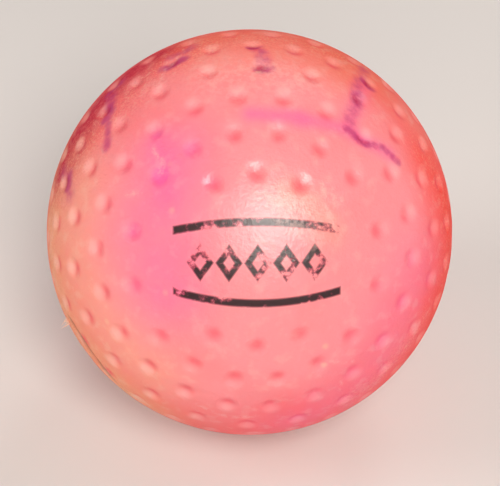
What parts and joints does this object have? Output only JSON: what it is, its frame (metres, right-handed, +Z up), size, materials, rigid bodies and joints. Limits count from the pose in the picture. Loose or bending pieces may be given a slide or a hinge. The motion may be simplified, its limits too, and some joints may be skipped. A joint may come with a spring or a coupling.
{
  "type": "field hockey ball",
  "caption": "Solid field hockey ball: cork-based core, yarn winding and a dimpled, worn coral-pink PVC cover in two fused halves, each with a smooth oval panel at its pole.",
  "frame": {"origin": "centre of the ball", "axes": "+Z up, -Y to the front, where the smooth panel of the front half looks 34 degrees up; -Z points into the stand that holds the ball"},
  "size_m": [0.073, 0.073, 0.073],
  "materials": {
    "cover": "moulded PVC, coral pink, satin gloss with scuffs and stains",
    "yarn": "undyed wound yarn",
    "cork": "pressed granules of cork bound with rubber"
  },
  "bodies": {
    "root": {"cork_core": "cork", "yarn_winding": "yarn", "cover_front": "cover", "cover_rear": "cover"}
  },
  "joints": []
}
